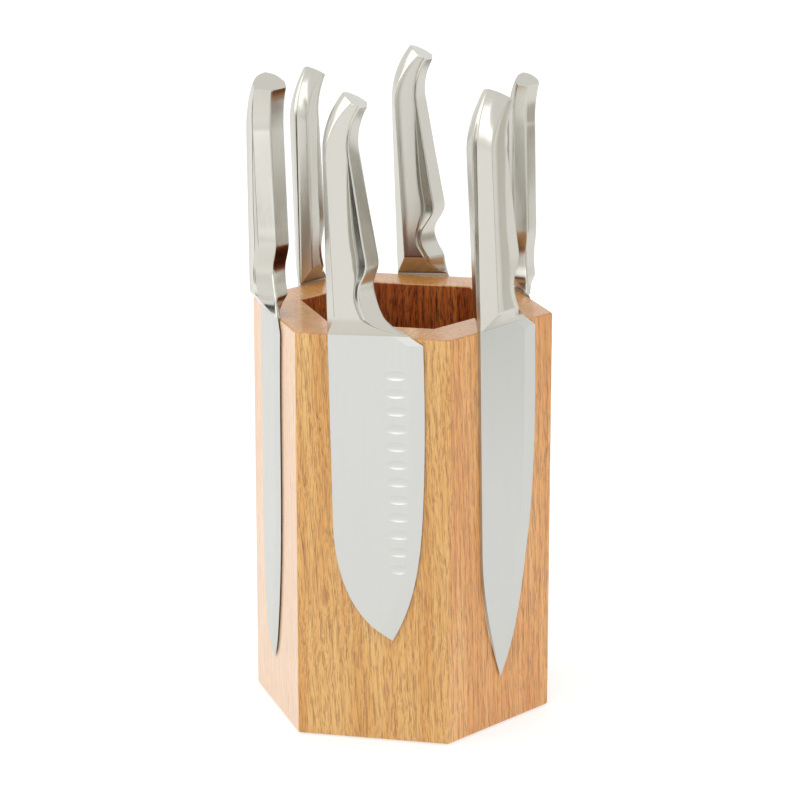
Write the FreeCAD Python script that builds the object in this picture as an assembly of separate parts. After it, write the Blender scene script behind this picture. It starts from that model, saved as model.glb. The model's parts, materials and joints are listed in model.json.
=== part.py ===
import FreeCAD, Part
import math
import os

# Hexagonal wooden knife block with six knives held flat on its faces by hidden magnets.
# Millimetres, +Z up. The origin is the centre of the underside, and the front face looks along -Y.

# ---- block: six mitred boards glued into a hexagonal tube ----
SIDES = 6
BLOCK_HEIGHT = 230.0         # floor to top face
BLOCK_ACROSS_FLATS = 147.4
BOARD_THICKNESS = 24.0
FLOOR_GAP = 0.6              # the pad holds the wood this far off the table
OUTER_CHAMFER = 1.4
INNER_CHAMFER = 0.7

# ---- magnet channel, milled into each board from the inside ----
CHANNEL_WIDTH = 28.0
CHANNEL_BOTTOM = 45.0
CHANNEL_TOP = 198.0          # low enough that the cover is out of sight from the table
FACE_SKIN = 3.0              # wood left between the magnets and the knife
MAGNET_WIDTH = 24.0
MAGNET_HEIGHT = 40.0
MAGNET_THICKNESS = 8.0
MAGNET_COUNT = 3
KEEPER_THICKNESS = 3.0
CHANNEL_CLEARANCE = 0.15     # cover and keeper inside the channel, each side

# ---- bottom: hexagonal board in a rebate, screws up into the walls, thin rubber pad ----
REBATE_DEPTH = 10.0
BASE_THICKNESS = 10.0
PAD_THICKNESS = 2.8
BASE_CLEARANCE = 0.3
SCREW_LENGTH = 25.0
SCREW_RADIUS = 1.75
SCREW_HEAD_RADIUS = 3.5
SCREW_HEAD_HEIGHT = 1.8
SCREW_HOLE_CLEARANCE = 0.25
PILOT_CLEARANCE = 0.05

# ---- knives ----
SEAT_GAP = 0.4               # weld line of every knife above the top of the block
BLADE_THICKNESS = 2.0
BUTT_PLATE = 2.5
HANDLE_WALL = 1.6
FLAT_SHARE = 0.6             # most of the thickness that the spine's flat takes where the ramp is thin
BEVEL_MIDDLE = 0.35          # share of the spine bevel where it bulges towards the butt
BUTT_ROUNDING = 0.32         # how much it bulges at the butt, as a share of the bevel's depth
BUTT_SPREAD = 0.45           # how much longer the bevel gets there, as the spine swells to a dome
FLUTE_SLOPE = 0.34           # depth of the flute along the belly's crest, as a share of its width
FLUTE_FALL = 0.25            # share of its width where it is deepest
FLARE_LOW = 0.3              # two heights up the ramp, and the share of the blade's flare left there
FLARE_LOW_LEFT = 0.58
FLARE_HIGH = 0.65
FLARE_HIGH_LEFT = 0.23
SWELL_TOP = 0.18             # the palm's swell ends this far up to the hook,
SWELL_LEFT = 0.84            # with this share of the narrowing still to come
WELD_BEVEL = 0.05            # bevel and flute have all but run out where the blade is welded on
CAVITY_END = 2.1             # wall at the handle's spine and belly
HOOK_STEPS = 4

# One handle pattern in three sizes. Widths run from spine to belly, heights from the weld line.
# The belly's bevel is widest at the foot, and the flute beside its crest is widest at the palm.
BROAD_HANDLE = {
    "length": 131.2, "thickness": 18.0, "hook_start": 98.0, "hook_turn": 40.0, "butt_tilt": 33.0,
    "ramp_height": 10.5, "ramp_width": 30.6, "finger_height": 28.0, "finger_width": 25.8,
    "palm_height": 40.0, "palm_width": 28.8, "neck_width": 20.1, "butt_width": 14.9,
    "spine_flat": 3.5, "spine_bevel": 5.0, "foot_bevel": 7.5, "finger_bevel": 6.0, "palm_bevel": 4.8,
    "butt_bevel": 3.7, "foot_flute": 3.0, "palm_flute": 7.6, "butt_flute": 1.6,
}
LONG_HANDLE = dict(BROAD_HANDLE, length=132.4, hook_start=100.0, ramp_width=27.7, finger_height=25.5,
                   finger_width=22.4)
SMALL_HANDLE = {
    "length": 124.0, "thickness": 13.4, "hook_start": 94.0, "hook_turn": 40.0, "butt_tilt": 33.0,
    "ramp_height": 9.0, "ramp_width": 18.6, "finger_height": 22.5, "finger_width": 16.4,
    "palm_height": 37.0, "palm_width": 18.8, "neck_width": 15.6, "butt_width": 11.0,
    "spine_flat": 2.6, "spine_bevel": 3.7, "foot_bevel": 4.8, "finger_bevel": 4.1, "palm_bevel": 3.3,
    "butt_bevel": 2.7, "foot_flute": 1.8, "palm_flute": 4.0, "butt_flute": 1.1,
}

# Blade outlines as (share of width, share of length): the spine's curve down to the tip,
# then the cutting edge back up to the heel.
SANTOKU_SPINE = [(0.0, 0.62), (0.033, 0.733), (0.10, 0.814), (0.225, 0.894), (0.48, 0.974), (0.604, 1.0)]
SANTOKU_EDGE = [(0.604, 1.0), (0.719, 0.934), (0.827, 0.843), (0.898, 0.745), (0.97, 0.52), (1.0, 0.25),
                (1.0, 0.03)]
COOKS_SPINE = [(0.0, 0.6), (0.012, 0.685), (0.062, 0.777), (0.152, 0.872), (0.327, 1.0)]
COOKS_EDGE = [(0.327, 1.0), (0.575, 0.885), (0.788, 0.689), (0.882, 0.568), (0.99, 0.244), (1.0, 0.025)]
CARVING_SPINE = [(0.0, 0.66), (0.014, 0.755), (0.10, 0.87), (0.22, 0.95), (0.42, 1.0)]
CARVING_EDGE = [(0.42, 1.0), (0.556, 0.965), (0.688, 0.892), (0.805, 0.783), (0.93, 0.495), (1.0, 0.04)]
BREAD_SPINE = [(0.0, 0.8), (0.03, 0.88), (0.14, 0.95), (0.32, 0.988), (0.5, 1.0)]
BREAD_EDGE = [(0.5, 1.0), (0.72, 0.982), (0.88, 0.935), (0.97, 0.86), (1.0, 0.75), (1.0, 0.57), (1.0, 0.3),
              (1.0, 0.04)]

# name, side counted anticlockwise from the front, hand (+1: edge on the viewer's right),
# spine's place across the face at the weld line, lean of the knife towards its spine in degrees,
# cant of the handle from the blade in degrees, then the blade and its handle.
KNIVES = [
    {"name": "santoku", "side": 0, "hand": 1, "spine_at": -24.0, "lean": 1.3, "cant": 0.0,
     "length": 172.0, "width": 52.0, "heel_cut": 8.0, "bevel": 8.0,
     "spine": SANTOKU_SPINE, "edge": SANTOKU_EDGE, "handle": BROAD_HANDLE},
    {"name": "cooks_knife", "side": 1, "hand": 1, "spine_at": -20.4, "lean": 1.4, "cant": 1.2,
     "length": 201.6, "width": 46.8, "heel_cut": 7.0, "bevel": 10.0,
     "spine": COOKS_SPINE, "edge": COOKS_EDGE, "handle": BROAD_HANDLE},
    {"name": "paring_knife", "side": 2, "hand": -1, "spine_at": 20.0, "lean": 1.0, "cant": 0.0,
     "length": 92.0, "width": 24.0, "heel_cut": 3.0, "bevel": 6.0,
     "spine": COOKS_SPINE, "edge": COOKS_EDGE, "handle": SMALL_HANDLE},
    {"name": "bread_knife", "side": 3, "hand": -1, "spine_at": 18.2, "lean": 2.0, "cant": 0.0,
     "length": 202.0, "width": 32.0, "heel_cut": 2.5, "bevel": 7.0,
     "spine": BREAD_SPINE, "edge": BREAD_EDGE, "handle": LONG_HANDLE},
    {"name": "utility_knife", "side": 4, "hand": -1, "spine_at": 4.3, "lean": 1.5, "cant": 0.0,
     "length": 131.0, "width": 25.0, "heel_cut": 3.0, "bevel": 7.0,
     "spine": COOKS_SPINE, "edge": COOKS_EDGE, "handle": SMALL_HANDLE},
    {"name": "carving_knife", "side": 5, "hand": 1, "spine_at": -18.6, "lean": 0.5, "cant": 0.0,
     "length": 201.0, "width": 35.0, "heel_cut": 4.0, "bevel": 8.0,
     "spine": CARVING_SPINE, "edge": CARVING_EDGE, "handle": LONG_HANDLE},
]
SIDE_NAMES = ["front", "front_right", "back_right", "back", "back_left", "front_left"]

# ---- hollows ground into the santoku, and the bread knife's teeth ----
HOLLOW_COUNT = 12
HOLLOW_PITCH = 9.9
HOLLOW_TOP = 21.8            # first hollow below the weld line
HOLLOW_FROM_EDGE = 15.2
HOLLOW_WIDTH = 13.4
HOLLOW_HEIGHT = 5.4
HOLLOW_DEPTH = 0.5
TOOTH_PITCH = 8.5
TOOTH_RADIUS = 6.0
TOOTH_DEPTH = 1.8
TOOTH_HEEL_MARGIN = 14.0

# ---- worked out from the sizes above ----
APOTHEM = BLOCK_ACROSS_FLATS / 2
INNER_APOTHEM = APOTHEM - BOARD_THICKNESS
SIDE_ANGLE = 360.0 / SIDES
BASE_BOTTOM = PAD_THICKNESS
BASE_TOP = BASE_BOTTOM + BASE_THICKNESS
REBATE_APOTHEM = INNER_APOTHEM + REBATE_DEPTH
SCREW_APOTHEM = INNER_APOTHEM + REBATE_DEPTH / 2
MAGNET_BACK = APOTHEM - FACE_SKIN - MAGNET_THICKNESS
KEEPER_BACK = MAGNET_BACK - KEEPER_THICKNESS
HALF_BLADE = BLADE_THICKNESS / 2


def hex_prism(apothem, bottom, top):
    """Solid hexagon with a flat towards -Y."""
    radius = apothem / math.cos(math.pi / SIDES)
    corners = []
    for i in range(SIDES + 1):
        angle = math.radians(i * SIDE_ANGLE)
        corners.append(FreeCAD.Vector(radius * math.cos(angle), radius * math.sin(angle), bottom))
    return Part.Face(Part.makePolygon(corners)).extrude(FreeCAD.Vector(0, 0, top - bottom))


def block_box(width, inner, outer, bottom, top):
    """Box in the front board, centred across it, between two distances from the block's axis."""
    return Part.makeBox(width, outer - inner, top - bottom, FreeCAD.Vector(-width / 2, -outer, bottom))


def turned(shape, side):
    """Copy of a front piece, turned about the block's axis to one of the six sides."""
    copy = shape.copy()
    copy.rotate(FreeCAD.Vector(0, 0, 0), FreeCAD.Vector(0, 0, 1), side * SIDE_ANGLE)
    return copy


def edges_at(shape, height, distance):
    """Horizontal edges of the front board at a height, on the face at a distance from the axis."""
    found = []
    for edge in shape.Edges:
        ends = [v.Point for v in edge.Vertexes]
        if all(abs(p.z - height) < 0.01 and abs(p.y + distance) < 0.01 for p in ends):
            found.append(edge)
    return found


# ---- block ----
def wall_board():
    """One mitred board with its magnet channel, the rebate for the base and a screw's pilot hole."""
    half_outer = APOTHEM * math.tan(math.pi / SIDES)
    half_inner = INNER_APOTHEM * math.tan(math.pi / SIDES)
    corners = [
        FreeCAD.Vector(-half_outer, -APOTHEM, FLOOR_GAP),
        FreeCAD.Vector(half_outer, -APOTHEM, FLOOR_GAP),
        FreeCAD.Vector(half_inner, -INNER_APOTHEM, FLOOR_GAP),
        FreeCAD.Vector(-half_inner, -INNER_APOTHEM, FLOOR_GAP),
    ]
    outline = Part.Face(Part.makePolygon(corners + corners[:1]))
    board = outline.extrude(FreeCAD.Vector(0, 0, BLOCK_HEIGHT - FLOOR_GAP))
    outer_edges = edges_at(board, BLOCK_HEIGHT, APOTHEM) + edges_at(board, FLOOR_GAP, APOTHEM)
    board = board.makeChamfer(OUTER_CHAMFER, outer_edges)
    board = board.makeChamfer(INNER_CHAMFER, edges_at(board, BLOCK_HEIGHT, INNER_APOTHEM))
    board = board.cut(hex_prism(REBATE_APOTHEM, 0, BASE_TOP))
    channel = block_box(CHANNEL_WIDTH, INNER_APOTHEM - 1, APOTHEM - FACE_SKIN, CHANNEL_BOTTOM, CHANNEL_TOP)
    board = board.cut(channel)
    pilot_top = BASE_BOTTOM + SCREW_LENGTH + 1
    pilot = Part.makeCylinder(
        SCREW_RADIUS + PILOT_CLEARANCE, pilot_top - BASE_TOP, FreeCAD.Vector(0, -SCREW_APOTHEM, BASE_TOP))
    return board.cut(pilot)


def magnets():
    """Bar magnets stacked down the channel, evenly spaced, against the board's skin."""
    pitch = (CHANNEL_TOP - CHANNEL_BOTTOM) / MAGNET_COUNT
    bars = []
    for i in range(MAGNET_COUNT):
        middle = CHANNEL_BOTTOM + (i + 0.5) * pitch
        bars.append(block_box(MAGNET_WIDTH, MAGNET_BACK, APOTHEM - FACE_SKIN,
                              middle - MAGNET_HEIGHT / 2, middle + MAGNET_HEIGHT / 2))
    return Part.makeCompound(bars)


def keeper():
    """Steel strip behind the magnets that closes their field towards the knife."""
    width = CHANNEL_WIDTH - 2 * CHANNEL_CLEARANCE
    return block_box(width, KEEPER_BACK, MAGNET_BACK,
                     CHANNEL_BOTTOM + CHANNEL_CLEARANCE, CHANNEL_TOP - CHANNEL_CLEARANCE)


def channel_cover():
    """Wooden strip that fills the rest of the channel, flush with the inside of the board."""
    width = CHANNEL_WIDTH - 2 * CHANNEL_CLEARANCE
    return block_box(width, INNER_APOTHEM, KEEPER_BACK,
                     CHANNEL_BOTTOM + CHANNEL_CLEARANCE, CHANNEL_TOP - CHANNEL_CLEARANCE)


def base_screw(clearance=0.0):
    """Countersunk wood screw under the front board, head flush with the base board."""
    place = FreeCAD.Vector(0, -SCREW_APOTHEM, BASE_BOTTOM)
    shank = Part.makeCylinder(SCREW_RADIUS + clearance, SCREW_LENGTH, place)
    head = Part.makeCone(SCREW_HEAD_RADIUS + clearance, SCREW_RADIUS + clearance, SCREW_HEAD_HEIGHT, place)
    return shank.fuse(head)


def base_board():
    """Hexagonal bottom of the block, in the rebate, with a countersunk hole under each wall."""
    board = hex_prism(REBATE_APOTHEM - BASE_CLEARANCE, BASE_BOTTOM, BASE_TOP)
    for side in range(SIDES):
        board = board.cut(turned(base_screw(SCREW_HOLE_CLEARANCE), side))
    return board


# ---- handle ----
def handle_stations(handle, weld_width, cant):
    """Sections from the weld line to the butt, each with its points, sizes and roundness."""
    slope = math.tan(math.radians(cant))
    half = handle["thickness"] / 2
    radius = (handle["length"] - handle["hook_start"]) / math.sin(math.radians(handle["hook_turn"]))
    ramp, finger = handle["ramp_height"], handle["finger_height"]
    palm, hook = handle["palm_height"], handle["hook_start"]
    ramp_width, finger_width = handle["ramp_width"], handle["finger_width"]
    palm_width, neck_width = handle["palm_width"], handle["neck_width"]
    flare = weld_width - ramp_width
    swell_width = neck_width + SWELL_LEFT * (palm_width - neck_width)
    foot, palm_bevel, butt_bevel = handle["foot_bevel"], handle["palm_bevel"], handle["butt_bevel"]
    foot_flute, palm_flute, butt_flute = handle["foot_flute"], handle["palm_flute"], handle["butt_flute"]
    middle_bevel = (palm_bevel + butt_bevel) / 2
    middle_flute = (palm_flute + butt_flute) / 2
    straight = [
        (0.0, weld_width, 0.0, WELD_BEVEL, WELD_BEVEL),
        (FLARE_LOW * ramp, ramp_width + FLARE_LOW_LEFT * flare, FLARE_LOW, FLARE_HIGH * foot,
         FLARE_LOW * foot_flute),
        (FLARE_HIGH * ramp, ramp_width + FLARE_HIGH_LEFT * flare, FLARE_HIGH, foot, FLARE_HIGH * foot_flute),
        (ramp, ramp_width, 1.0, foot, foot_flute),
        ((ramp + finger) / 2, (ramp_width + 2 * finger_width) / 3, 1.0, foot, foot_flute),
        (finger, finger_width, 1.0, handle["finger_bevel"], foot_flute),
        ((finger + palm) / 2, (finger_width + palm_width) / 2, 1.0, palm_bevel,
         (foot_flute + palm_flute) / 2),
        (palm, palm_width, 1.0, palm_bevel, palm_flute),
        (palm + SWELL_TOP * (hook - palm), swell_width, 1.0, palm_bevel, SWELL_LEFT * palm_flute),
        ((palm + hook) / 2, (palm_width + neck_width) / 2, 1.0, middle_bevel, middle_flute),
        (hook, neck_width, 1.0, butt_bevel, butt_flute),
    ]
    stations = []
    for height, width, rise, bevel, flute in straight:
        across = -slope * height
        stations.append({
            "spine": FreeCAD.Vector(across, 0, height), "belly": FreeCAD.Vector(across + width, 0, height),
            "half": HALF_BLADE + rise * (half - HALF_BLADE), "bevel": bevel, "flute": flute,
            "roundness": 0.0})
    for i in range(1, HOOK_STEPS + 1):
        share = i / HOOK_STEPS
        turn = math.radians(share * handle["hook_turn"])
        tilt = math.radians(share * handle["butt_tilt"])
        width = neck_width + share * (handle["butt_width"] - neck_width)
        rise = radius * math.sin(turn)
        spine = FreeCAD.Vector(radius * (1 - math.cos(turn)) - slope * (hook + rise), 0, hook + rise)
        belly = spine + FreeCAD.Vector(width * math.cos(tilt), 0, -width * math.sin(tilt))
        stations.append({"spine": spine, "belly": belly, "half": half, "bevel": butt_bevel,
                         "flute": butt_flute, "roundness": share})
    return stations


def mirrored_wire(spine, belly, side_points):
    """Closed section through the spine and belly points, the same on both sides of the blade's plane."""
    across = (belly - spine).normalize()
    points = []
    for along, depth in side_points:
        points.append(spine + across * along + FreeCAD.Vector(0, depth, 0))
    points.append(belly)
    for along, depth in reversed(side_points):
        points.append(spine + across * along - FreeCAD.Vector(0, depth, 0))
    return Part.makePolygon(points + points[:1])


def outer_section(handle, station):
    """Bevelled spine, broad side with its flute, then the crest and bevel of the belly."""
    spine, belly, half = station["spine"], station["belly"], station["half"]
    roundness = station["roundness"]
    width = (belly - spine).Length
    flat = min(handle["spine_flat"] / 2, FLAT_SHARE * half) * (1 - BUTT_SPREAD * roundness)
    bevel = handle["spine_bevel"] * (1 + BUTT_SPREAD * roundness)
    ridge = width - station["bevel"]
    flute = station["flute"]
    sides = [
        (0.0, flat),
        (BEVEL_MIDDLE * bevel, flat + (BEVEL_MIDDLE + BUTT_ROUNDING * roundness) * (half - flat)),
        (bevel, half),
        (ridge - flute, half),
        (ridge - (1 - FLUTE_FALL) * flute, half - FLUTE_SLOPE * flute),
        (ridge, half),
    ]
    return mirrored_wire(spine, belly, sides)


def cavity_section(handle, station):
    """Hollow inside the handle, one wall in from the outside."""
    spine, belly = station["spine"], station["belly"]
    width = (belly - spine).Length
    depth = station["half"] - FLUTE_SLOPE * station["flute"] - HANDLE_WALL
    sides = [
        (CAVITY_END, handle["spine_flat"] / 4),
        (handle["spine_bevel"] + HANDLE_WALL, depth),
        (width - station["bevel"] - HANDLE_WALL, depth),
    ]
    inner_belly = belly + (spine - belly).normalize() * CAVITY_END
    return mirrored_wire(spine, inner_belly, sides)


def loft(wires):
    """Solid with flat strips from each section to the next."""
    return Part.makeLoft(wires, True, True)


def plate_station(stations):
    """Section where the shell ends and the butt plate begins."""
    before, end = stations[-2], stations[-1]
    back = BUTT_PLATE / (end["spine"] - before["spine"]).Length
    joint = dict(end)
    for key in ("spine", "belly", "roundness"):
        joint[key] = end[key] + (before[key] - end[key]) * back
    return joint


def handle_parts(knife):
    """Hollow handle shell, open at the butt, and the plate that closes it."""
    handle = knife["handle"]
    stations = handle_stations(handle, knife["width"] - knife["heel_cut"], knife["cant"])
    joint = plate_station(stations)
    shell_stations = stations[:-1] + [joint]
    shell = loft([outer_section(handle, s) for s in shell_stations])
    cavity_stations = [s for s in shell_stations if s["half"] == handle["thickness"] / 2][1:]
    shell = shell.cut(loft([cavity_section(handle, s) for s in cavity_stations]))
    plate = loft([outer_section(handle, joint), outer_section(handle, stations[-1])])
    return shell, plate


# ---- blade ----
def blade_wire(knife, bevel, depth):
    """Outline of the blade at one depth, with the cutting edge drawn in by the bevel."""
    width, length = knife["width"], knife["length"]

    def point(share):
        return FreeCAD.Vector(share[0] * width, depth, -share[1] * length)

    spine = [point(s) for s in knife["spine"]]
    edge = [point(s) for s in knife["edge"]]
    if bevel > 0:
        spine = spine[:-1]
        drawn = []
        for before, here, after in zip(edge, edge[1:], edge[2:]):
            along = (after - before).normalize()
            drawn.append(here + FreeCAD.Vector(-along.z, 0, along.x) * bevel)
        edge = [spine[-1]] + drawn + [edge[-1] - FreeCAD.Vector(bevel, 0, 0)]
    curves = []
    for points in (spine, edge):
        curve = Part.BSplineCurve()
        curve.interpolate(points)
        curves.append(curve.toShape())
    top_left = FreeCAD.Vector(0, depth, 0)
    top_right = FreeCAD.Vector(width - knife["heel_cut"] - bevel, depth, 0)
    heel = Part.makeLine(edge[-1], top_right)
    top = Part.makeLine(top_right, top_left)
    back = Part.makeLine(top_left, spine[0])
    return Part.Wire([back, curves[0], curves[1], heel, top])


def blade(knife):
    """Flat blade, ground from both sides to the cutting edge."""
    bevel = knife["bevel"]
    sections = [(bevel, -HALF_BLADE), (0, 0), (bevel, HALF_BLADE)]
    return Part.makeLoft([blade_wire(knife, b, d) for b, d in sections], True, True)


def ground_hollows(shape, knife):
    """Row of oval hollows on both sides, as a round-rimmed grinding wheel leaves them."""
    rim = HOLLOW_HEIGHT ** 2 / (8 * HOLLOW_DEPTH)
    wheel = HOLLOW_WIDTH ** 2 / (8 * HOLLOW_DEPTH)
    for i in range(HOLLOW_COUNT):
        height = -HOLLOW_TOP - i * HOLLOW_PITCH
        for side in (-1, 1):
            axis = side * (HALF_BLADE + wheel - HOLLOW_DEPTH)
            place = FreeCAD.Vector(knife["width"] - HOLLOW_FROM_EDGE, axis, height)
            shape = shape.cut(Part.makeTorus(wheel - rim, rim, place))
    return shape


def cut_teeth(shape, knife):
    """Scallops along the straight part of the bread knife's edge."""
    straight_end = max(along for across, along in knife["edge"] if across == 1.0) * knife["length"]
    count = int((straight_end - TOOTH_HEEL_MARGIN) / TOOTH_PITCH)
    for i in range(count):
        place = FreeCAD.Vector(knife["width"] + TOOTH_RADIUS - TOOTH_DEPTH, -BLADE_THICKNESS,
                               -TOOTH_HEEL_MARGIN - i * TOOTH_PITCH)
        cutter = Part.makeCylinder(TOOTH_RADIUS, 2 * BLADE_THICKNESS, place, FreeCAD.Vector(0, 1, 0))
        shape = shape.cut(cutter)
    return shape


def seated(shape, knife):
    """Knife piece from its own frame to its place flat on one side of the block."""
    origin = FreeCAD.Vector(0, 0, 0)
    copy = shape.copy()
    copy.rotate(origin, FreeCAD.Vector(0, 1, 0), -knife["lean"])
    if knife["hand"] < 0:
        copy.rotate(origin, FreeCAD.Vector(0, 0, 1), 180)
    copy.translate(FreeCAD.Vector(knife["spine_at"], -APOTHEM - HALF_BLADE, BLOCK_HEIGHT + SEAT_GAP))
    return turned(copy, knife["side"])


def save(name, shape):
    """One STEP file for each node."""
    shape.exportStep(os.path.join("parts", name + ".step"))
    print(name, "valid" if shape.isValid() else "NOT VALID", round(shape.Volume / 1000, 2), "cm3")


def main():
    os.makedirs("parts", exist_ok=True)
    for side, name in enumerate(SIDE_NAMES):
        save("wall_board_" + name, turned(wall_board(), side))
        save("magnets_" + name, turned(magnets(), side))
        save("keeper_plate_" + name, turned(keeper(), side))
        save("channel_cover_" + name, turned(channel_cover(), side))
    save("base_board", base_board())
    save("base_screws", Part.makeCompound([turned(base_screw(), side) for side in range(SIDES)]))
    save("base_pad", hex_prism(REBATE_APOTHEM - BASE_CLEARANCE, 0, PAD_THICKNESS))
    for knife in KNIVES:
        steel = blade(knife)
        if knife["name"] == "santoku":
            steel = ground_hollows(steel, knife)
        if knife["name"] == "bread_knife":
            steel = cut_teeth(steel, knife)
        shell, plate = handle_parts(knife)
        save(knife["name"] + "_blade", seated(steel, knife))
        save(knife["name"] + "_handle", seated(shell, knife))
        save(knife["name"] + "_butt_plate", seated(plate, knife))


main()
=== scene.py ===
# %% [markdown]
# # A hexagonal magnetic knife block with six knives
# The real thing is a tube of six mitred oak boards. Hidden magnets hold six stainless steel knives flat on
# its faces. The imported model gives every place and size. This script dresses it: the boards get eased
# edges, the handles get their polished facets, and every surface gets its real finish.

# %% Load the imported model
import json
import math

import bmesh
import bpy
from mathutils import Matrix, Vector

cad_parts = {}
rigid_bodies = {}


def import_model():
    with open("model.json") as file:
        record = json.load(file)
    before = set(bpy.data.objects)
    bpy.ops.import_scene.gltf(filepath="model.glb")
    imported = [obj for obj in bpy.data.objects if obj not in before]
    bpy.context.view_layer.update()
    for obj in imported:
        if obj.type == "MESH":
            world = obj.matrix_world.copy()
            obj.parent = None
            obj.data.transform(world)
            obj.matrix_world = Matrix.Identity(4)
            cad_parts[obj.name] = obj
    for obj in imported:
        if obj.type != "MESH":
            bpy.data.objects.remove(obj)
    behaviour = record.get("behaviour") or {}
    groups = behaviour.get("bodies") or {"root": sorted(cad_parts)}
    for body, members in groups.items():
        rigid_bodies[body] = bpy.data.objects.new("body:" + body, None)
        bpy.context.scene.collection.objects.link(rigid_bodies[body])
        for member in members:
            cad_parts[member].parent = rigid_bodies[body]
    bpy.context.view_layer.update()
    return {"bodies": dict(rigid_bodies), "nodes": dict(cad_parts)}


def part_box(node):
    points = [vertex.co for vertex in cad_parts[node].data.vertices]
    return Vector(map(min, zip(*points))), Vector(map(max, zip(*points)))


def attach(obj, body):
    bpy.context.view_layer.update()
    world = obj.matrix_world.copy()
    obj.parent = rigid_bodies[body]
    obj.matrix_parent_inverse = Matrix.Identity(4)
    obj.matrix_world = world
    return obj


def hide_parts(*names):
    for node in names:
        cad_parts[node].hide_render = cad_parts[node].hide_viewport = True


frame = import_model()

SIDES = ["front", "front_right", "back_right", "back", "back_left", "front_left"]
SIDE_TURN = math.radians(360 / len(SIDES))
MM = 0.001

# %% [markdown]
# Every size below is in millimetres, because that is how a workshop measures wood and steel. The block's
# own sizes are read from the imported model, so the looks can't drift away from the design.

# %% Read the block's sizes from the model
board_low, board_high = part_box("wall_board_front")
cover_low, cover_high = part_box("channel_cover_front")
base_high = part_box("base_board")[1]
APOTHEM = -board_low.y / MM
INNER_APOTHEM = -cover_high.y / MM
BLOCK_TOP = board_high.z / MM
BLOCK_FOOT = board_low.z / MM
BASE_TOP = base_high.z / MM
BASE_CLEARANCE = 0.3     # the bottom board is this much smaller than its rebate all round
REBATE_APOTHEM = base_high.y / MM + BASE_CLEARANCE
print("block", round(2 * APOTHEM, 1), "across flats,", round(BLOCK_TOP, 1), "high")

# %% [markdown]
# A colour is written the way a paint chart gives it, as an sRGB hex value. Blender's shaders work in linear
# light, so one function turns one into the other.

# %% Colours
def linear(hex_colour):
    """sRGB hex to the linear RGBA that a shader socket takes."""
    channels = [int(hex_colour[i:i + 2], 16) / 255 for i in (1, 3, 5)]
    curve = [c / 12.92 if c <= 0.04045 else ((c + 0.055) / 1.055) ** 2.4 for c in channels]
    return (*curve, 1.0)


print("mid grey is", round(linear("#808080")[0], 3), "in linear light")

# %% [markdown]
# All materials are node graphs. One helper adds any node, sets its options and links its inputs, so a
# graph reads from top to bottom like a recipe.

# %% Node helper
def add(tree, kind, inputs=None, **options):
    """New shader node. Inputs are plain values, or sockets to link from, by name or number."""
    node = tree.nodes.new(kind)
    for name, value in options.items():
        setattr(node, name, value)
    for name, value in (inputs or {}).items():
        if isinstance(value, bpy.types.NodeSocket):
            tree.links.new(value, node.inputs[name])
        else:
            node.inputs[name].default_value = value
    return node


def new_material(name):
    """Empty material with an output, ready for its shader."""
    material = bpy.data.materials.new(name)
    material.use_nodes = True
    material.node_tree.nodes.clear()
    return material, material.node_tree


COLOUR_A, COLOUR_B, COLOUR_OUT = 6, 7, 2      # the colour sockets of a Mix node
print("node helper ready")

# %% [markdown]
# ## Oak
# The boards are plain-sawn oak under a satin lacquer. Oak is ring-porous: each year starts with a band of
# open pores, which a saw cuts into short dark dashes along the grain, and ends with dense, smooth wood.
# An image could be wrapped on each board, but a solid pattern is better here. The wood is drawn as it grew,
# as rings around a pith behind the board, so the face shows cathedral figure, the top shows end grain and
# the two agree at the edges. Each board gets its own place in the log, because no two boards match.

# %% Oak sizes
RING_WIDTH = 3.9         # one year's growth
PORE_ACROSS = 0.45       # real pores are about 0.3 across and are drawn as coarse as they need to show
PORE_ALONG = 8.0
PORE_RELIEF = 0.08       # how deep the lacquer sinks into a pore
LINE_ACROSS = 0.6        # bundles of fibres that took the finish darker
LINE_ALONG = 17.0
STREAK_ACROSS = 2.6
STREAK_ALONG = 110.0
TONE_ACROSS = 13.0
TONE_ALONG = 190.0
WANDER_ACROSS = 12.0     # how far apart the grain's wanderings are
WANDER_ALONG = 60.0
WANDER = 1.3             # and how far it wanders
NOISE_REACH = 0.25       # Blender's noise seldom strays further than this from its middle
WAVE_UNIT = math.tau / 20     # Blender's ring wave repeats each WAVE_UNIT at a scale of 1
CUT_APART = (137.0, 91.0, 53.0)     # one board's place in the log from the next one's
# how far each kind of grain darkens the wood, as a share of the way to its darker colour
STREAK_DEPTH = 0.5
LINE_DEPTH = 0.44
RING_DEPTH = 0.22
PORE_DEPTH = 0.55
print("a face shows about", round(2 * APOTHEM * math.tan(SIDE_TURN / 2) / RING_WIDTH), "years of growth")

# %% Where a board lies in its log
def wood_grain(tree, vector, across, along, **settings):
    """Noise drawn out along the trunk: one size across the grain, another along it, in millimetres."""
    stretch = add(tree, "ShaderNodeVectorMath", {
        0: vector, 1: (1 / across, 1 / across, 1 / along)}, operation="MULTIPLY")
    return add(tree, "ShaderNodeTexNoise", {"Vector": stretch.outputs[0], "Scale": 1.0, **settings})


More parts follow.
